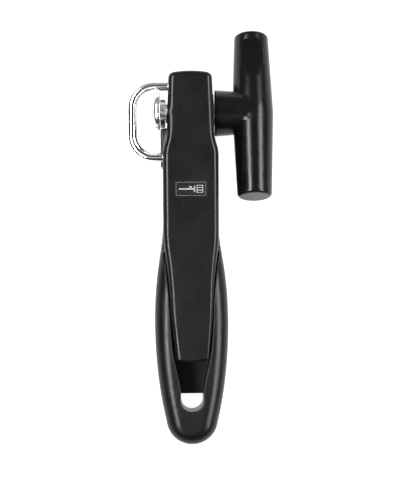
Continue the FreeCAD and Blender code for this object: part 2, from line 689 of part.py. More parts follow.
def lever_form():
    """Long moulded strap with the flat front face and the cheeks of the hinge."""
    body = new_body("lever_form")
    plan = new_sketch(body, "lever_plan", "XY_Plane", "10")
    plan.addGeometry(lever_outline(), False)
    pad(body, plan, "40", "lever_pad")
    top = new_sketch(body, "lever_face", "YZ_Plane", "-40")
    front = 30.0
    rear = -140.0
    draw_polygon(top, [(rear, face(rear)), (front, face(front)), (front, 70), (rear, 70)])
    pocket(body, top, "80", "lever_face_cut")
    under = new_sketch(body, "lever_underside", "YZ_Plane", "-40")
    pivot = Vector(size_of("dims.hinge_front"), size_of("dims.hinge_height"), 0)
    radius = size_of("dims.cheek_radius")
    nose = pivot + Vector(radius, 0, 0)
    low = pivot - Vector(0, radius, 0)
    step = low.x - 8.6
    under.addGeometry([
        Part.LineSegment(Vector(rear, underside(rear), 0), Vector(step, underside(step), 0)),
        Part.LineSegment(Vector(step, underside(step), 0), Vector(step + 2.6, low.y, 0)),
        Part.LineSegment(Vector(step + 2.6, low.y, 0), low),
        Part.Arc(low, pivot + Vector(math.sqrt(0.5), -math.sqrt(0.5), 0) * radius, nose),
        Part.LineSegment(nose, Vector(30, nose.y, 0)),
        Part.LineSegment(Vector(30, nose.y, 0), Vector(30, 0, 0)),
        Part.LineSegment(Vector(30, 0, 0), Vector(rear, 0, 0)),
        Part.LineSegment(Vector(rear, 0, 0), Vector(rear, underside(rear), 0)),
    ], False)
    pocket(body, under, "80", "lever_underside_cut")
    slot = new_sketch(body, "lever_slot", "YZ_Plane", "-dims.slot_half")
    draw_box(slot, "4.6", "30", "10", "dims.hinge_height + 6.1")
    pocket(body, slot, "2 * dims.slot_half", "lever_slot_cut")
    seat = new_sketch(body, "lever_plate_seat", "YZ_Plane", "-dims.plate_half - 0.1")
    thick = size_of("dims.plate_thick")
    draw_polygon(seat, [(2, underside(2) - 2), (2, underside(2) + thick),
                        (-116, underside(-116) + thick), (-116, underside(-116) - 2)])
    pocket(body, seat, "2 * dims.plate_half + 0.2", "lever_plate_seat_cut")
    bores = new_sketch(body, "lever_bores", "YZ_Plane", "-40")
    draw_circle(bores, "dims.hinge_front", "dims.hinge_height", "dims.wire_radius")
    pocket(body, bores, "40 + dims.hinge_stop", "lever_hinge_bore")
    blind = new_sketch(body, "lever_blind_bores", "YZ_Plane", "-40")
    draw_circle(blind, "-dims.bail_rear", "dims.hinge_height", "dims.wire_radius")
    draw_circle(blind, "0", "dims.cutter_height", "dims.axle_radius")
    pocket(body, blind, "36", "lever_blind_bore")
    return body


def tilted_box(name, half, rear, front, height, thick):
    """Thin block that lies in the lever's face; height is its middle above the face."""
    box = doc.addObject("Part::Box", name)
    box.setExpression("Length", f"2 * ({half})")
    box.setExpression("Width", f"({front}) - ({rear})")
    box.setExpression("Height", thick)
    length = size_of("dims.lever_length + dims.head_front")
    slope = math.degrees(math.atan2(size_of("dims.face_head - dims.face_tip"), length))
    low = Vector(-size_of(half), size_of(rear), face(size_of(rear)) + height)
    box.Placement = Placement(low, Rotation(Vector(1, 0, 0), slope))
    return box


def rim_radius(place):
    """Rounding of the lever's rim: it falls off along the strap that lies in the grip."""
    start = size_of("dims.groove_start")
    share = max(0.0, (-place.y - start) / (size_of("dims.lever_length") - start))
    wide = size_of("dims.face_fillet")
    return wide + share * (size_of("dims.tip_fillet") - wide)


def lever_cover():
    """Strap with the badge's shallow seat in its face and screw holes from below."""
    rim = lambda box, edge: (box.ZMin > size_of("dims.face_tip - 3.6") and box.ZLength < 20
                             and abs(edge.CenterOfMass.z - face(edge.CenterOfMass.y)) < 0.5)
    strap = rounded("lever_rim", lever_form(), rim, rim_radius)
    seat = tilted_box("badge_seat", "dims.badge_half + 0.1", "-dims.badge_rear - 0.1",
                      "-dims.badge_front + 0.1", -size_of("dims.badge_depth"), "4")
    bores = [cylinder_z(f"lever_screw_bore_{k}", "dims.screw_radius", str(underside(y) - 1),
                        str(underside(y) + 5.0), "0", str(y)) for k, y in enumerate(PLATE_SCREWS)]
    cover = cut_away("lever_cover_cut", strap, [seat] + bores)
    low_edge = lambda box, edge: (box.YMax < 8 and abs(edge.CenterOfMass.x) > 7.5 and box.YLength > 2
                                  and abs(box.ZMax - underside(box.YMax)) < 0.6)
    return keep(rounded("lever_low_round", cover, low_edge, "dims.edge_round"), "lever_cover")


def badge_plate():
    """Thin blank plate let into the lever's face."""
    low = 0.02 - size_of("dims.badge_depth")
    return keep(tilted_box("badge_form", "dims.badge_half", "-dims.badge_rear", "-dims.badge_front",
                           low, "dims.badge_thick"), "badge_plate")


def lever_plate():
    """Steel strap that stiffens the lever from below."""
    body = new_body("lever_plate")
    side = new_sketch(body, "lever_plate_side", "YZ_Plane", "-dims.plate_half")
    thick = size_of("dims.plate_thick") - 0.05
    rear = -115.5
    front = 1.5
    draw_polygon(side, [(front, underside(front) + 0.05), (front, underside(front) + thick),
                        (rear, underside(rear) + thick), (rear, underside(rear) + 0.05)])
    pad(body, side, "2 * dims.plate_half", "lever_plate_pad")
    holes = new_sketch(body, "lever_plate_holes", "XY_Plane", "10")
    for y in PLATE_SCREWS:
        draw_circle(holes, "0", str(y), "dims.screw_radius + 0.1")
    pocket(body, holes, "30", "lever_plate_bores")
    return keep(body, "lever_plate")


def lever_plate_screws():
    """Three flat-head screws, flush with the strap's lower side."""
    solids = []
    for y in PLATE_SCREWS:
        low = underside(y) + 0.1
        radius = size_of("dims.screw_radius")
        solids.append(Part.makeCylinder(radius, 4.7, Vector(0, y, low)))
    group = doc.addObject("Part::Feature", "lever_plate_screws")
    group.Shape = Part.makeCompound(solids)
    return keep(group, "lever_plate_screws")


def guide_bail():
    """Wire loop with rounded corners: the front leg is also the lever's hinge pin."""
    front = size_of("dims.hinge_front")
    rear = -size_of("dims.bail_rear")
    reach = -size_of("dims.bail_reach")
    bend = size_of("dims.bail_bend")
    slant = bend * (1 - math.sqrt(0.5))
    body = new_body("guide_bail")
    path = new_sketch(body, "guide_bail_path", "XY_Plane", "dims.hinge_height")
    stop = -size_of("dims.body_half") + 8.0
    path.addGeometry([
        Part.LineSegment(Vector(size_of("dims.hinge_stop"), front, 0), Vector(reach + bend, front, 0)),
        Part.Arc(Vector(reach + bend, front, 0), Vector(reach + slant, front - slant, 0),
                 Vector(reach, front - bend, 0)),
        Part.LineSegment(Vector(reach, front - bend, 0), Vector(reach, rear + bend, 0)),
        Part.Arc(Vector(reach, rear + bend, 0), Vector(reach + slant, rear + slant, 0),
                 Vector(reach + bend, rear, 0)),
        Part.LineSegment(Vector(reach + bend, rear, 0), Vector(stop, rear, 0)),
    ], False)
    section = new_sketch(body, "guide_bail_section", "YZ_Plane", "dims.hinge_stop")
    draw_circle(section, "dims.hinge_front", "dims.hinge_height", "dims.wire_radius")
    pipe = body.newObject("PartDesign::AdditivePipe", "guide_bail_pipe")
    pipe.Profile = section
    pipe.Spine = path
    doc.recompute()
    return keep(body, "guide_bail")


def ring_x(name, inner, outer, start, end, front, height):
    """Washer or ring along X between two places."""
    profile = [(size_of(start), size_of(inner)), (size_of(start), size_of(outer)),
               (size_of(end), size_of(outer)), (size_of(end), size_of(inner))]
    return keep(turned_piece(name, profile, front, height), name)


def cutter_axle():
    """Riveted stub of the cutting disc: its head lies in the disc's outer face."""
    inner = -size_of("dims.body_half") + 7.0
    outer = -size_of("dims.cutter_inner + dims.cutter_width") + 0.1
    seat = outer + size_of("dims.rivet_depth") - 0.2
    shaft = size_of("dims.axle_radius")
    head = size_of("dims.rivet_radius")
    crown = 0.4
    profile = [(inner, 0), (inner, shaft), (seat, shaft), (seat, head), (outer + crown, head),
               (outer + crown / 4, head - crown), (outer, head - 3 * crown), (outer, 0)]
    return keep(turned_piece("cutter_axle", profile, "0", "dims.cutter_height"), "cutter_axle")


def cutter_wheel():
    """Disc with a flat face to the feed wheel, and an outer side that rounds over to a recess."""
    inner = -size_of("dims.cutter_inner")
    outer = inner - size_of("dims.cutter_width")
    rim = size_of("dims.cutter_radius")
    hole = size_of("dims.axle_radius") + 1.2
    recess = size_of("dims.rivet_radius") + 0.2
    floor = outer + size_of("dims.rivet_depth")
    round_wide = 2.6
    round_tall = 3.6
    steps = 8
    side = []
    for k in range(steps + 1):
        turn = math.pi / 2 * k / steps
        side.append((outer + round_wide * (1 - math.sin(turn)), rim - round_tall * (1 - math.cos(turn))))
    profile = [(inner, hole), (inner, rim - 0.25), (inner - 0.25, rim)] + side + [
        (outer, recess), (floor, recess), (floor, hole)]
    return keep(turned_piece("cutter_wheel", profile, "0", "dims.cutter_height"), "cutter_wheel")


# ---- the knob ----

def feed_wheel():
    """Toothed wheel on the drive shaft."""
    body = turned_piece("feed_wheel", [
        (-size_of("dims.feed_inner"), size_of("dims.shaft_radius") - 0.6),
        (-size_of("dims.feed_inner"), size_of("dims.feed_radius")),
        (-size_of("dims.feed_inner + dims.feed_width"), size_of("dims.feed_radius")),
        (-size_of("dims.feed_inner + dims.feed_width"), size_of("dims.shaft_radius") - 0.6),
    ], "0", "dims.knob_height")
    gap = new_sketch(body, "tooth_gap", "YZ_Plane", "-dims.feed_inner - dims.feed_width - 1")
    rim = size_of("dims.feed_radius")
    half = math.pi * rim / size_of("dims.feed_teeth") * 0.8
    draw_polygon(gap, [(-half, rim + 0.2), (0, rim - size_of("dims.tooth_depth")), (half, rim + 0.2)])
    first = pocket(body, gap, "dims.feed_width + 2", "tooth_gap_cut")
    ring = body.newObject("PartDesign::PolarPattern", "feed_teeth")
    ring.Originals = [first]
    ring.Axis = (next(item for item in body.Origin.OriginFeatures if item.Role == "X_Axis"), [""])
    ring.Angle = 360
    ring.Occurrences = int(size_of("dims.feed_teeth"))
    body.Tip = ring
    doc.recompute()
    return keep(body, "feed_wheel")


def pin_form(name):
    """Cylinder of the cross pin, square to the shaft and turned with the resting knob."""
    pin = doc.addObject("Part::Cylinder", name)
    pin.setExpression("Radius", "dims.pin_radius")
    half = size_of("dims.hub_radius") - 1.2
    pin.Height = half + size_of("dims.pin_depth")
    turn = Rotation(Vector(1, 0, 0), -size_of("dims.knob_tilt"))
    start = Vector(size_of("dims.pin_place"), 0, size_of("dims.knob_height"))
    pin.Placement = Placement(start + turn.multVec(Vector(0, 0, -half)), turn)
    doc.recompute()
    return pin


def knob_pin():
    """Cross pin through hub and shaft."""
    return keep(pin_form("knob_pin"), "knob_pin")


def drive_shaft():
    """Shaft from the knob's hub to the feed wheel, with a thinner end for the wheel."""
    shaft = size_of("dims.shaft_radius")
    thin = shaft - 0.6
    inner = -size_of("dims.feed_inner")
    profile = [(inner, 0), (inner, shaft), (27.0, shaft), (27.6, thin), (27.6, 0)]
    body = turned_piece("drive_shaft_form", profile, "0", "dims.knob_height")
    return keep(cut_away("drive_shaft_cut", body, [pin_form("shaft_pin_bore")]), "drive_shaft")


def feed_wheel_screw():
    """Screw through the feed wheel into the end of the shaft."""
    outer = -size_of("dims.feed_inner + dims.feed_width")
    head = size_of("dims.shaft_radius") + 1.2
    thin = size_of("dims.shaft_radius") - 0.6
    inner = -size_of("dims.feed_inner") - 0.01
    profile = [(inner, 0), (inner, thin), (outer, thin), (outer, head), (outer - 0.35, head - 0.4),
               (outer - 0.35, 0)]
    return keep(turned_piece("feed_wheel_screw", profile, "0", "dims.knob_height"), "feed_wheel_screw")


def knob_bar():
    """Bar of the T knob: two cones that meet in the middle, with rounded ends."""
    half = size_of("dims.bar_half")
    middle = size_of("dims.bar_middle")
    tip = size_of("dims.bar_tip")
    edge = 1.8
    slant = edge * (1 - math.sqrt(0.5))
    shift = -size_of("dims.bar_shift")
    body = new_body("knob_bar")
    profile = new_sketch(body, "knob_bar_profile", "XY_Plane")
    low = shift - half
    high = shift + half
    side = [Vector(0, low, 0), Vector(tip - edge, low, 0), Vector(tip, low + edge, 0),
            Vector(middle, 0, 0), Vector(tip, high - edge, 0), Vector(tip - edge, high, 0),
            Vector(0, high, 0)]
    profile.addGeometry([
        Part.LineSegment(side[0], side[1]),
        Part.Arc(side[1], Vector(tip - slant, low + slant, 0), side[2]),
        Part.LineSegment(side[2], side[3]),
        Part.LineSegment(side[3], side[4]),
        Part.Arc(side[4], Vector(tip - slant, high - slant, 0), side[5]),
        Part.LineSegment(side[5], side[6]),
        Part.LineSegment(side[6], side[0]),
    ], False)
    feature = body.newObject("PartDesign::Revolution", "knob_bar_turned")
    feature.Profile = profile
    feature.ReferenceAxis = (profile, ["V_Axis"])
    feature.Angle = 360
    doc.recompute()
    return body


def knob_tee():
    """T knob: hub, double-cone bar and a thumb scoop on each half."""
    bar = knob_bar()
    bar.setExpression("Placement.Base.x", "dims.bar_reach")
    hub = doc.addObject("Part::Cone", "knob_hub")
    hub.setExpression("Radius1", "dims.hub_radius")
    hub.setExpression("Radius2", "dims.bar_middle - 0.1")
    hub.setExpression("Height", "dims.bar_reach - dims.hub_inner")
    hub.Placement = Placement(Vector(), Rotation(Vector(0, 1, 0), 90))
    hub.setExpression("Placement.Base.x", "dims.hub_inner")
    form = joined("knob_form", [bar, hub])
    scoops = []
    for k, side in enumerate([1, -1]):
        reach = size_of("dims.scoop_place") / size_of("dims.bar_half")
        surface = size_of("dims.bar_middle") * (1 - reach) + size_of("dims.bar_tip") * reach
        height = side * (surface + size_of("dims.scoop_radius") - size_of("dims.scoop_depth"))
        place = side * size_of("dims.scoop_place")
        scoops.append(cylinder_x(f"thumb_scoop_{k}", "dims.scoop_radius", "10", "50", str(place),
                                 str(height)))
    shaft_bore = cylinder_x("knob_bore", "dims.shaft_radius", "0", "27.7", "0", "0")
    pin_bore = cylinder_z("knob_pin_bore", "dims.pin_radius", "-30", "dims.pin_depth",
                          "dims.pin_place", "0")
    solid = cut_away("knob_tee_cut", form, scoops + [shaft_bore, pin_bore])
    face_x = size_of("dims.hub_inner")
    knob = rounded("knob_hub_round", solid, lambda box, edge: (
        box.XMax < face_x + 0.1 and edge.Length > 40), "0.8")
    rest = Rotation(Vector(1, 0, 0), -size_of("dims.knob_tilt"))
    knob.Placement = Placement(Vector(0, 0, size_of("dims.knob_height")), rest)
    return keep(knob, "knob_tee")


handle_shell()
rear_cover()
cover_screws()
frame_bracket()
shaft_bush("shaft_bush_left", -1)
shaft_bush("shaft_bush_right", 1)
lever_cover()
badge_plate()
lever_plate()
lever_plate_screws()
guide_bail()
cutter_axle()
ring_x("cutter_spacer", "dims.axle_radius", "4.4", "-dims.neck_half",
       "-dims.cutter_inner + 0.3", "0", "dims.cutter_height")
cutter_wheel()
ring_x("cutter_bush", "dims.axle_radius + dims.shaft_play", "dims.axle_radius + 1.2",
       "-dims.cutter_inner", "-dims.cutter_inner - dims.cutter_width + dims.rivet_depth", "0",
       "dims.cutter_height")
knob_tee()
knob_pin()
drive_shaft()
feed_wheel()
feed_wheel_screw()
ring_x("thrust_washer", "dims.shaft_radius + dims.shaft_play", "6.5", "dims.boss_face + 0.1",
       "dims.hub_inner - 0.1", "0", "dims.knob_height")
doc.recompute()

for item in doc.Objects:
    if "Invalid" in item.State or "Error" in item.State:
        raise ValueError(f"{item.Name} failed: {item.State}")
os.makedirs("parts", exist_ok=True)
for piece in pieces:
    if piece.Shape.isNull() or not piece.Shape.isValid():
        raise ValueError(f"{piece.Label} has no valid shape")
    piece.Shape.exportStep(f"parts/{piece.Label}.step")
    print(piece.Label, round(piece.Shape.Volume, 1), len(piece.Shape.Solids))
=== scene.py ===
import json
import math
import bmesh
import bpy
from mathutils import Matrix, Vector


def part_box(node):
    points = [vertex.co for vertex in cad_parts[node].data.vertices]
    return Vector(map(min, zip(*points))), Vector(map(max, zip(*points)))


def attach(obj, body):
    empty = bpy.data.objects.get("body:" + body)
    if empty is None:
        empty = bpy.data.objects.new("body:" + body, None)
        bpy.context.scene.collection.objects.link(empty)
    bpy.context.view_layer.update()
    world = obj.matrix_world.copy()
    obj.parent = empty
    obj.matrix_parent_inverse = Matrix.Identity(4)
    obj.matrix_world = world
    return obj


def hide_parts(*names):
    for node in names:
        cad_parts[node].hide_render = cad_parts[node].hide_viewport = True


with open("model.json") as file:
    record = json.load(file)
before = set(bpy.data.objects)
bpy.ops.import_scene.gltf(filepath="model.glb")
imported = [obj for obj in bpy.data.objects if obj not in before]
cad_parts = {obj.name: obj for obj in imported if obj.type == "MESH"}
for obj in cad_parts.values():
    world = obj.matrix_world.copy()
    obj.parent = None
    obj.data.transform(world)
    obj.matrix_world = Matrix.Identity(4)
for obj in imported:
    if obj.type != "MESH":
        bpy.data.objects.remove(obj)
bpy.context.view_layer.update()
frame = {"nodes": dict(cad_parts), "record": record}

MM = 0.001
SEAM = 0.002 * MM  # points of a CAD mesh that are closer than this are one point
WELD = 0.001 * MM  # the same for the edges and points of a mesh that is made here

# ---- Handle shell ----
# The grip and the lower half of the head are one hollow moulding of black ABS. It has a satin,
# spark-eroded skin, a little polished where the hand holds it, with faint flow marks and scuffs.


def new_material(name):
    """New node material, with its tree and its main shader."""
    material = bpy.data.materials.new(name)
    material.use_nodes = True
    tree = material.node_tree
    return material, tree, tree.nodes["Principled BSDF"]


def add_node(tree, kind, links=(), values=(), **settings):
    """New node with its settings, its plain values and its links, by socket name."""
    made = tree.nodes.new(kind)
    for key, value in settings.items():
        setattr(made, key, value)
    for key, value in dict(values).items():
        made.inputs[key].default_value = value
    for key, source in dict(links).items():
        tree.links.new(source, made.inputs[key])
    return made


def noise(tree, scale, detail, roughness=0.5, stretch=(1, 1, 1)):
    """Noise on the piece's own coordinates, with its scale per metre; stretch draws it out."""
    place = add_node(tree, "ShaderNodeTexCoord")
    mapping = add_node(tree, "ShaderNodeMapping", {"Vector": place.outputs["Object"]},
                       {"Scale": stretch})
    pattern = add_node(tree, "ShaderNodeTexNoise", {"Vector": mapping.outputs["Vector"]},
                       {"Scale": scale, "Detail": detail, "Roughness": roughness})
    return pattern.outputs["Fac"]


def spread(tree, source, low, high, start=0.3, stop=0.7):
    """Turns a pattern into a value between low and high."""
    scaled = add_node(tree, "ShaderNodeMapRange", {"Value": source},
                      {"From Min": start, "From Max": stop, "To Min": low, "To Max": high})
    return scaled.outputs["Result"]


def relief(tree, shader, layers):
    """Stacks bumps on a shader: each layer is a pattern, its strength and its height in metres."""
    normal = None
    for pattern, strength, height in layers:
        links = {"Height": pattern}
        if normal:
            links["Normal"] = normal
        bump = add_node(tree, "ShaderNodeBump", links, {"Strength": strength, "Distance": height})
        normal = bump.outputs["Normal"]
    tree.links.new(normal, shader.inputs["Normal"])


def moulded_black(name, tint, dull, polished, grain, grain_height):
    """Black plastic: mould grain, flow marks, thin scuffs, and polish where it is handled."""
    material, tree, shader = new_material(name)
    drift = noise(tree, 45, 4)
    colour = add_node(tree, "ShaderNodeMix", data_type="RGBA")
    colour.inputs["A"].default_value = (*tint, 1)
    colour.inputs["B"].default_value = (*(channel * 1.5 for channel in tint), 1)
    tree.links.new(drift, colour.inputs["Factor"])
    tree.links.new(colour.outputs["Result"], shader.inputs["Base Color"])
    handled = spread(tree, noise(tree, 90, 5, 0.6), polished, dull)
    scuffs = spread(tree, noise(tree, 700, 2, 0.5, (1, 0.04, 1)), 0, 0.03, 0.6, 0.8)
    rough = add_node(tree, "ShaderNodeMath", operation="ADD")
    tree.links.new(handled, rough.inputs[0])
    tree.links.new(scuffs, rough.inputs[1])
    tree.links.new(rough.outputs["Value"], shader.inputs["Roughness"])
    relief(tree, shader, [(noise(tree, 70, 2), 0.35, 0.02 * MM),
                          (noise(tree, grain, 2), 0.5, grain_height)])
    shader.inputs["Specular IOR Level"].default_value = 0.22
    return material


def mount(piece, node_name):
    """Puts a finished piece in place of its plain node, on the same body."""
    bodies = frame["record"]["behaviour"]["bodies"]
    body = next(name for name, members in bodies.items() if node_name in members)
    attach(piece, body)
    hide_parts(node_name)


def finish(node_name, material, sharp_angle=32):
    """Smooth copy of a node: seams closed, true edges kept sharp, flat faces kept flat."""
    mesh = frame["nodes"][node_name].data.copy()
    work = bmesh.new()
    work.from_mesh(mesh)
    bmesh.ops.remove_doubles(work, verts=work.verts, dist=SEAM)
    bmesh.ops.dissolve_degenerate(work, edges=work.edges, dist=WELD)
    work.to_mesh(mesh)
    work.free()
    mesh.materials.clear()
    mesh.materials.append(material)
    mesh.polygons.foreach_set("use_smooth", [True] * len(mesh.polygons))
    mesh.set_sharp_from_angle(angle=math.radians(sharp_angle))
    piece = bpy.data.objects.new(node_name + "_finished", mesh)
    bpy.context.scene.collection.objects.link(piece)
    weigh = piece.modifiers.new("weigh", "WEIGHTED_NORMAL")
    weigh.keep_sharp = True
    weigh.weight = 100
    mount(piece, node_name)


grip_black = moulded_black("grip_black", (0.0011, 0.0011, 0.0010), 0.36, 0.29, 2600, 0.03 * MM)
finish("handle_shell", grip_black)

# ---- Rear cover ----
# A flat moulded lid closes the hollow from the back. It comes from the same tool set as the shell,
# so it has the same skin, and three screws hold it.

finish("rear_cover", grip_black)

# ---- Cover screws ----
# Three self-tapping pan-head screws with a cross recess, zinc plated. They sit in counterbores and
# bite into the posts of the shell.


def steel_material(name, tint, rough_low, rough_high, grain, direction):
    """Bare or plated steel with fine drawing marks that run across the given stretch."""
    material, tree, shader = new_material(name)
    shader.inputs["Metallic"].default_value = 1.0
    cloud = noise(tree, 200, 4)
    colour = add_node(tree, "ShaderNodeMix", {"Factor": cloud}, data_type="RGBA")
    colour.inputs["A"].default_value = (*tint, 1)
    colour.inputs["B"].default_value = (*(channel * 0.86 for channel in tint), 1)
    tree.links.new(colour.outputs["Result"], shader.inputs["Base Color"])
    marks = noise(tree, grain, 3, 0.6, direction)
    tree.links.new(spread(tree, marks, rough_low, rough_high), shader.inputs["Roughness"])
    relief(tree, shader, [(marks, 0.25, 0.01 * MM)])
    return material


zinc = steel_material("zinc_plate", (0.60, 0.61, 0.62), 0.22, 0.36, 900, (1, 1, 1))


def new_tree(name, sizes):
    """Empty geometry tree with a geometry input and output, and a named input for each size."""
    tree = bpy.data.node_groups.new(name, "GeometryNodeTree")
    tree.interface.new_socket("Geometry", in_out="INPUT", socket_type="NodeSocketGeometry")
    for size_name, kind in sizes.items():
        tree.interface.new_socket(size_name, in_out="INPUT", socket_type=kind)
    tree.interface.new_socket("Geometry", in_out="OUTPUT", socket_type="NodeSocketGeometry")
    return tree, tree.nodes.new("NodeGroupInput").outputs


def close_tree(tree, geometry, material):
    """Ends a tree: instances become real, and the material is set."""
    real = add_node(tree, "GeometryNodeRealizeInstances", {"Geometry": geometry})
    painted = add_node(tree, "GeometryNodeSetMaterial", {"Geometry": real.outputs["Geometry"]},
                       {"Material": material})
    end = tree.nodes.new("NodeGroupOutput")
    tree.links.new(painted.outputs["Geometry"], end.inputs["Geometry"])


def grow(piece_name, points, edges, tree, values, smooth_angle=30):
    """Runs a tree on a few points and keeps the result as a plain mesh."""
    seed = bpy.data.meshes.new(piece_name)
    seed.from_pydata(points, edges, [])
    piece = bpy.data.objects.new(piece_name, seed)
    bpy.context.scene.collection.objects.link(piece)
    maker = piece.modifiers.new("maker", "NODES")
    maker.node_group = tree
    for item in tree.interface.items_tree:
        if item.in_out == "INPUT" and item.name in values:
            maker[item.identifier] = values[item.name]
    graph = bpy.context.evaluated_depsgraph_get()
    mesh = bpy.data.meshes.new_from_object(piece.evaluated_get(graph))
    piece.modifiers.remove(maker)
    work = bmesh.new()
    work.from_mesh(mesh)
    bmesh.ops.remove_doubles(work, verts=work.verts, dist=WELD)
    bmesh.ops.recalc_face_normals(work, faces=work.faces)
    work.to_mesh(mesh)
    work.free()
    mesh.polygons.foreach_set("use_smooth", [True] * len(mesh.polygons))
    mesh.set_sharp_from_angle(angle=math.radians(smooth_angle))
    piece.data = mesh
    return piece


def loose_solids(node_name):
    """Lowest and highest corner of each separate solid of a node, front to rear."""
    work = bmesh.new()
    work.from_mesh(frame["nodes"][node_name].data)
    bmesh.ops.remove_doubles(work, verts=work.verts, dist=SEAM)
    rest = set(work.verts)
    solids = []
    while rest:
        fresh = [rest.pop()]
        island = list(fresh)
        while fresh:
            near = {other for vert in fresh for edge in vert.link_edges for other in edge.verts} & rest
            rest -= near
            fresh = list(near)
            island += fresh
        solids.append([Vector([pick(vert.co[axis] for vert in island) for axis in range(3)])
                       for pick in (min, max)])
    work.free()
    return sorted(solids, key=lambda corners: -corners[0].y)


FLOAT = "NodeSocketFloat"
screw_tree, size = new_tree("cross_head_screws", {
    "Face radius": FLOAT, "Head radius": FLOAT, "Head height": FLOAT, "Shank radius": FLOAT,
    "Shank length": FLOAT, "Recess width": FLOAT, "Recess depth": FLOAT})


def times(tree, source, factor):
    """A tree's size multiplied by a plain number."""
    product = add_node(tree, "ShaderNodeMath", {0: source}, {1: factor}, operation="MULTIPLY")
    return product.outputs["Value"]


def triple(tree, **axes):
    """Joins sizes into one X, Y, Z value."""
    return add_node(tree, "ShaderNodeCombineXYZ", axes).outputs["Vector"]


def screws_on_points(tree, size):
    """Head with a cross recess, and a shank behind it, repeated on each point."""
    head = add_node(tree, "GeometryNodeMeshCone",
                    {"Radius Bottom": size["Face radius"], "Radius Top": size["Head radius"],
                     "Depth": size["Head height"]}, {"Vertices": 40, "Side Segments": 2})
    long_side = times(tree, size["Face radius"], 1.3)
    depth = times(tree, size["Recess depth"], 2)
    slots_cut = [add_node(tree, "GeometryNodeMeshCube", {"Size": triple(tree, X=x, Y=y, Z=depth)})
                 for x, y in [(long_side, size["Recess width"]), (size["Recess width"], long_side)]]
    cross = add_node(tree, "GeometryNodeMeshBoolean", {"Mesh 1": head.outputs["Mesh"]},
                     operation="DIFFERENCE")
    for bar in slots_cut:
        tree.links.new(bar.outputs["Mesh"], cross.inputs["Mesh 2"])
    shank = add_node(tree, "GeometryNodeMeshCylinder",
                     {"Radius": size["Shank radius"], "Depth": size["Shank length"]}, {"Vertices": 32})
    middle = times(tree, size["Shank length"], 0.5)
    lift = add_node(tree, "ShaderNodeMath", {0: middle, 1: size["Head height"]}, operation="ADD")
    raised = add_node(tree, "GeometryNodeTransform",
                      {"Geometry": shank.outputs["Mesh"],
                       "Translation": triple(tree, Z=lift.outputs["Value"])})
    screw = tree.nodes.new("GeometryNodeJoinGeometry")
    tree.links.new(cross.outputs["Mesh"], screw.inputs["Geometry"])
    tree.links.new(raised.outputs["Geometry"], screw.inputs["Geometry"])
    placed = add_node(tree, "GeometryNodeInstanceOnPoints",
                      {"Points": size["Geometry"], "Instance": screw.outputs["Geometry"]})
    return placed.outputs["Instances"]


close_tree(screw_tree, screws_on_points(screw_tree, size), zinc)


def screws(node_name, radii, head_height, recess):
    """Row of screws in place of a node; radii are the head's face, its rim and the shank."""
    low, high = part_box(node_name)
    solids = loose_solids(node_name)
    face_radius, head_radius, shank_radius = radii
    length = min(top.z - bottom.z for bottom, top in solids)
    row = grow(node_name + "_row", [((b.x + t.x) / 2, (b.y + t.y) / 2, b.z) for b, t in solids], [],
               screw_tree, {"Face radius": face_radius, "Head radius": head_radius,
                            "Head height": head_height, "Shank radius": shank_radius,
                            "Shank length": length - head_height, "Recess width": recess,
                            "Recess depth": 0.7 * head_height})
    mount(row, node_name)


screws("cover_screws", (2.5 * MM, 2.9 * MM, 1.5 * MM), 1.0 * MM, 0.8 * MM)

# ---- Frame bracket ----
# A folded steel bracket inside the head carries the shaft's bushes, so that the plastic isn't loaded.
# It is stamped from bright sheet and shows the rolling direction.

rolled_steel = steel_material("rolled_steel", (0.50, 0.51, 0.52), 0.28, 0.42, 1500, (1, 0.05, 1))
finish("frame_bracket", rolled_steel)

# ---- Shaft bushes ----
# Two flanged bushes of sintered bronze are pressed into the head, one on each side. Their turned
# flanges are warm yellow and a little dull.

bronze = steel_material("turned_bronze", (0.55, 0.36, 0.15), 0.26, 0.40, 1400, (1, 1, 1))
finish("shaft_bush_left", bronze)
finish("shaft_bush_right", bronze)

# ---- Lever cover ----
# The lever is a long strap of the same black ABS. Its flat face is smoother than the grip, and the
# long edges have a generous round.

strap_black = moulded_black("strap_black", (0.0012, 0.0012, 0.0010), 0.32, 0.25, 2600, 0.024 * MM)
finish("lever_cover", strap_black)

# ---- Badge ----
# A thin gloss plate is let into the lever's face. A fine dim frame and a small paler picture, of a
# can with two ribs and an opener beside it, are printed on it as a raised film. There is no lettering.

badge_gloss = moulded_black("badge_gloss", (0.006, 0.006, 0.006), 0.16, 0.10, 3000, 0.004 * MM)
finish("badge_plate", badge_gloss)


def printed_film(name, tone):
    """Matt printed film with a slightly uneven tone."""
    material, tree, shader = new_material(name)
    ink = add_node(tree, "ShaderNodeMix", {"Factor": noise(tree, 900, 3)}, data_type="RGBA")
    ink.inputs["A"].default_value = (tone, tone, tone, 1)
    ink.inputs["B"].default_value = (tone * 1.3, tone * 1.3, tone * 1.28, 1)
    tree.links.new(ink.outputs["Result"], shader.inputs["Base Color"])
    tree.links.new(spread(tree, noise(tree, 1200, 2), 0.35, 0.5), shader.inputs["Roughness"])
    return material


pale_film = printed_film("pale_film", 0.12)
dim_film = printed_film("dim_film", 0.03)


def raised_bars(piece_name, bars, rest, along, thickness, material):
    """Thin bars on a tilted face: each is its middle and its size across and along the face."""
    work = bmesh.new()
    for (x, y), (wide, long) in bars:
        made = bmesh.ops.create_cube(work, size=1)["verts"]
        bmesh.ops.scale(work, verts=made, vec=(wide, long, thickness))
        bmesh.ops.translate(work, verts=made, vec=(x, y, 0))
    place = Matrix.Translation(rest) @ Matrix.Rotation(along, 4, "X")
    bmesh.ops.transform(work, matrix=place, verts=work.verts)
    mesh = bpy.data.meshes.new(piece_name)
    work.to_mesh(mesh)
    work.free()
    mesh.materials.append(material)
    piece = bpy.data.objects.new(piece_name, mesh)
    bpy.context.scene.collection.objects.link(piece)
    return piece


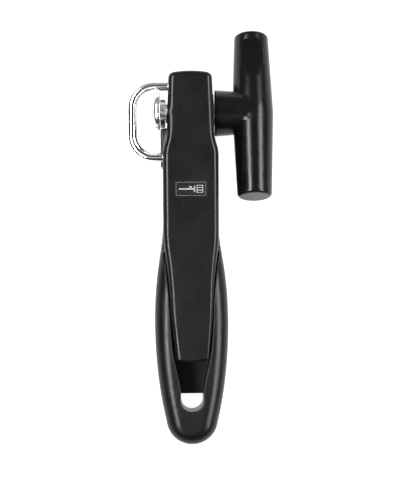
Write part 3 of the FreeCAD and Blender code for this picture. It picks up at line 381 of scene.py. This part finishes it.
badge_low, badge_high = (Vector(corner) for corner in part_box("badge_plate"))
badge_thick = 0.75 * MM
badge_tilt = math.atan2(badge_high.z - badge_low.z - badge_thick, badge_high.y - badge_low.y)
badge_top = Vector((0, (badge_low.y + badge_high.y) / 2,
                    (badge_low.z + badge_high.z + badge_thick) / 2))
film_thick = 0.06 * MM
side_margin, end_margin = 0.75 * MM, 0.2 * MM
half_wide = badge_high.x - side_margin
half_long = (badge_high.y - badge_low.y) / 2 - end_margin
line = 0.28 * MM
frame_bars = [((side * half_wide, 0), (line, 2 * half_long + line)) for side in (-1, 1)]
frame_bars += [((0, side * half_long), (2 * half_wide - line, line)) for side in (-1, 1)]
film = raised_bars("badge_frame", frame_bars, badge_top, badge_tilt, film_thick, dim_film)
can_x, can_half, can_tall, stroke = 4.4 * MM, 1.4 * MM, 3.9 * MM, 0.42 * MM
picture_bars = [((can_x + side * can_half, 0), (stroke, can_tall)) for side in (-1, 1)]
picture_bars += [((can_x, step * can_tall), (2 * can_half - stroke, stroke * 0.8))
                 for step in (-0.45, -0.15, 0.15, 0.45)]
picture_bars += [((-2.2 * MM, 0), (7.2 * MM, 0.75 * MM)), ((1.75 * MM, 0), (0.65 * MM, 3.1 * MM)),
                 ((-0.2 * MM, 0.95 * MM), (1.3 * MM, 0.65 * MM))]
picture = raised_bars("badge_picture", picture_bars, badge_top, badge_tilt, film_thick, pale_film)
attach(picture, "lever")
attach(film, "lever")

# ---- Lever strap and its screws ----
# A flat steel strap under the lever stops it from bending. Three short flat-head screws hold it, and
# their heads are flush with it.

finish("lever_plate", rolled_steel)
screws("lever_plate_screws", (1.35 * MM, 1.45 * MM, 1.3 * MM), 0.8 * MM, 0.5 * MM)

# ---- Guide wire ----
# One piece of spring wire, bent into a loop with two round corners and chromed. Its front leg is the
# lever's hinge pin, and its rear leg is pressed into the lever's side.

chrome, tree, shader = new_material("polished_chrome")
shader.inputs["Metallic"].default_value = 1.0
breath = noise(tree, 180, 4)
chrome_tone = add_node(tree, "ShaderNodeMix", {"Factor": breath}, data_type="RGBA")
chrome_tone.inputs["A"].default_value = (0.90, 0.90, 0.91, 1)
chrome_tone.inputs["B"].default_value = (0.82, 0.83, 0.84, 1)
tree.links.new(chrome_tone.outputs["Result"], shader.inputs["Base Color"])
tree.links.new(spread(tree, breath, 0.06, 0.13), shader.inputs["Roughness"])
relief(tree, shader, [(noise(tree, 500, 2), 0.12, 0.01 * MM)])

wire_tree, size = new_tree("bent_wire", {"Wire radius": FLOAT, "Bend radius": FLOAT})
wire_line = add_node(wire_tree, "GeometryNodeMeshToCurve", {"Mesh": size["Geometry"]})
bent = add_node(wire_tree, "GeometryNodeFilletCurve",
                {"Curve": wire_line.outputs["Curve"], "Radius": size["Bend radius"]}, {"Count": 24},
                mode="POLY")
section = add_node(wire_tree, "GeometryNodeCurvePrimitiveCircle", {"Radius": size["Wire radius"]},
                   {"Resolution": 32})
wire = add_node(wire_tree, "GeometryNodeCurveToMesh",
                {"Curve": bent.outputs["Curve"], "Profile Curve": section.outputs["Curve"]},
                {"Fill Caps": True})
close_tree(wire_tree, wire.outputs["Mesh"], chrome)

wire_low, wire_high = (Vector(corner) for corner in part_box("guide_bail"))
wire_radius = (wire_high.z - wire_low.z) / 2
wire_end = -5.75 * MM  # where the rear leg stops, inside the lever
wire_bend = 10.8 * MM
outer_x, front_y = wire_low.x + wire_radius, wire_high.y - wire_radius
rear_y, wire_z = wire_low.y + wire_radius, (wire_low.z + wire_high.z) / 2
loop = grow("guide_wire", [(wire_high.x, front_y, wire_z), (outer_x, front_y, wire_z),
                           (outer_x, rear_y, wire_z), (wire_end, rear_y, wire_z)],
            [(0, 1), (1, 2), (2, 3)], wire_tree, {"Wire radius": wire_radius, "Bend radius": wire_bend})
mount(loop, "guide_bail")

# ---- Cutting disc ----
# A hardened, plated disc runs on a bronze bush on a riveted stub in the lever's side. Its outer side
# is rounded, and a steel ring spaces it from the lever.

disc_steel = steel_material("plated_disc", (0.74, 0.74, 0.75), 0.14, 0.24, 1600, (0.05, 1, 1))
finish("cutter_wheel", disc_steel, 24)
finish("cutter_bush", bronze)
finish("cutter_axle", zinc)
finish("cutter_spacer", zinc)

# ---- Feed wheel ----
# The toothed wheel grips the can's rim from below. It is case-hardened, so it is darker than the
# disc, and one screw holds it on the thin end of the shaft.

hard_steel = steel_material("hardened_steel", (0.20, 0.20, 0.21), 0.26, 0.40, 1300, (0.1, 1, 1))
wheel_tree, size = new_tree("toothed_wheel", {
    "Teeth": "NodeSocketInt", "Root radius": FLOAT, "Tip radius": FLOAT, "Width": FLOAT,
    "Middle": "NodeSocketVector"})


def toothed_wheel(tree, size):
    """Disc with three-sided teeth round its rim, made flat and then stood up on the shaft."""
    reach = add_node(tree, "ShaderNodeMath", {0: size["Tip radius"], 1: size["Root radius"]},
                     operation="SUBTRACT").outputs["Value"]
    tooth_radius = times(tree, reach, 0.95)
    seat_radius = add_node(tree, "ShaderNodeMath", {0: size["Tip radius"], 1: tooth_radius},
                           operation="SUBTRACT").outputs["Value"]
    ring = add_node(tree, "GeometryNodeMeshCircle",
                    {"Vertices": size["Teeth"], "Radius": seat_radius})
    tooth = add_node(tree, "GeometryNodeMeshCylinder", {"Radius": tooth_radius, "Depth": size["Width"]},
                     {"Vertices": 3})
    place = tree.nodes.new("GeometryNodeInputPosition")
    outward = add_node(tree, "FunctionNodeAlignRotationToVector", {"Vector": place.outputs["Position"]},
                       axis="X")
    teeth = add_node(tree, "GeometryNodeInstanceOnPoints",
                     {"Points": ring.outputs["Mesh"], "Instance": tooth.outputs["Mesh"],
                      "Rotation": outward.outputs["Rotation"]})
    disc_depth = times(tree, size["Width"], 0.98)
    disc = add_node(tree, "GeometryNodeMeshCylinder",
                    {"Radius": size["Root radius"], "Depth": disc_depth}, {"Vertices": 90})
    whole = tree.nodes.new("GeometryNodeJoinGeometry")
    tree.links.new(teeth.outputs["Instances"], whole.inputs["Geometry"])
    tree.links.new(disc.outputs["Mesh"], whole.inputs["Geometry"])
    upright = add_node(tree, "GeometryNodeTransform",
                       {"Geometry": whole.outputs["Geometry"], "Translation": size["Middle"]},
                       {"Rotation": (0, math.radians(90), 0)})
    return upright.outputs["Geometry"]


close_tree(wheel_tree, toothed_wheel(wheel_tree, size), hard_steel)
wheel_low, wheel_high = (Vector(corner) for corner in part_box("feed_wheel"))
tip_radius = (wheel_high.z - wheel_low.z) / 2
tooth_count = 42
tooth_depth = 0.7 * MM
teeth = grow("feed_wheel_teeth", [(0, 0, 0)], [], wheel_tree, {
    "Teeth": tooth_count, "Root radius": tip_radius - tooth_depth, "Tip radius": tip_radius,
    "Width": wheel_high.x - wheel_low.x, "Middle": (wheel_low + wheel_high) / 2})
mount(teeth, "feed_wheel")
finish("feed_wheel_screw", zinc)

# ---- Drive shaft ----
# A ground steel shaft joins the knob to the feed wheel. A thin washer takes the knob's thrust where
# it meets the head.

ground_steel = steel_material("ground_steel", (0.56, 0.57, 0.58), 0.18, 0.28, 1800, (0.05, 1, 1))
finish("drive_shaft", ground_steel)
finish("thrust_washer", zinc)

# ---- Knob ----
# The T knob is one solid moulding of black ABS, smoother than the grip. A steel pin, pressed in from
# the back, fixes its hub to the shaft.

knob_black = moulded_black("knob_black", (0.0008, 0.0008, 0.0008), 0.29, 0.21, 2200, 0.02 * MM)
finish("knob_tee", knob_black, 12)
finish("knob_pin", ground_steel)

# ---- Camera ----
# The camera is straight above the tool, with a long lens, and turned a little about its own axis.

view_target = Vector((5.5, -68.1, 18.0)) * MM
view_distance = 800 * MM
view_lean = math.radians(1.2)
view_roll = math.radians(0.5)
camera_data = bpy.data.cameras.new("camera")
camera_data.lens = 115.2
camera_data.sensor_width = 36.0
camera = bpy.data.objects.new("camera", camera_data)
bpy.context.scene.collection.objects.link(camera)
back = Vector((-math.sin(view_lean), 0, math.cos(view_lean)))
up = Vector((math.sin(view_roll), math.cos(view_roll), 0))
side = up.cross(back).normalized()
up = back.cross(side)
turn = Matrix((side, up, back)).transposed()
camera.matrix_world = Matrix.Translation(view_target + back * view_distance) @ turn.to_4x4()
bpy.context.scene.camera = camera

# ---- Studio ----
# Three soft boxes: a narrow bright one high on the left, a wider and lower one on the right, and a
# small weak one high up towards the grip. The room itself is bright only behind the head.


def soft_box(name, elevation, heading, distance, size, glow, colour=(1, 1, 1)):
    """Area light aimed at the middle of the tool; glow is its brightness, whatever its size."""
    aim = Vector((0, -0.06, 0.015))
    tilt, bearing = math.radians(elevation), math.radians(heading)
    away = Vector((math.cos(tilt) * math.cos(bearing), math.cos(tilt) * math.sin(bearing),
                   math.sin(tilt)))
    data = bpy.data.lights.new(name, "AREA")
    data.shape = "RECTANGLE"
    data.size, data.size_y = size
    data.energy = glow * math.pi * size[0] * size[1]
    data.color = colour
    across = Vector((0, 0, 1)).cross(away).normalized()
    rise = away.cross(across)
    light = bpy.data.objects.new(name, data)
    light.matrix_world = Matrix.Translation(aim + away * distance) @ Matrix(
        (across, rise, away)).transposed().to_4x4()
    bpy.context.scene.collection.objects.link(light)


soft_box("left_strip", 60, 180, 0.6, (0.9, 0.14), 32.0, (0.97, 0.985, 1.0))
soft_box("right_strip", 44, 0, 0.6, (0.9, 0.20), 18.0, (0.97, 0.985, 1.0))
soft_box("top_box", 72, -90, 1.3, (0.7, 0.4), 0.8)

floor_reach = 1.2
floor_mesh = bpy.data.meshes.new("floor")
floor_mesh.from_pydata([(-floor_reach, -floor_reach, 0), (floor_reach, -floor_reach, 0),
                        (floor_reach, floor_reach, 0), (-floor_reach, floor_reach, 0)],
                       [], [(0, 1, 2, 3)])
floor = bpy.data.objects.new("floor", floor_mesh)
bpy.context.scene.collection.objects.link(floor)
white, tree, shader = new_material("pale_sheet")
shader.inputs["Base Color"].default_value = (0.12, 0.12, 0.12, 1)
shader.inputs["Roughness"].default_value = 0.9
shader.inputs["Emission Color"].default_value = (1, 1, 1, 1)
shader.inputs["Emission Strength"].default_value = 0.98
floor_mesh.materials.append(white)

# The room is bright behind the head and dark behind the grip, and the sheet's light fills from below.
world = bpy.data.worlds.new("studio")
bpy.context.scene.world = world
world.use_nodes = True
sky = world.node_tree
heading = add_node(sky, "ShaderNodeTexCoord")
parts = add_node(sky, "ShaderNodeSeparateXYZ", {"Vector": heading.outputs["Generated"]})
glow = add_node(sky, "ShaderNodeMapRange", {"Value": parts.outputs["Y"]},
                {"From Min": 0.1, "From Max": 0.8, "To Min": 0.04, "To Max": 0.4},
                interpolation_type="SMOOTHSTEP")
sky.links.new(glow.outputs["Result"], sky.nodes["Background"].inputs["Strength"])
sky.nodes["Background"].inputs["Color"].default_value = (1, 1, 1, 1)
bpy.context.scene.view_settings.view_transform = "Standard"
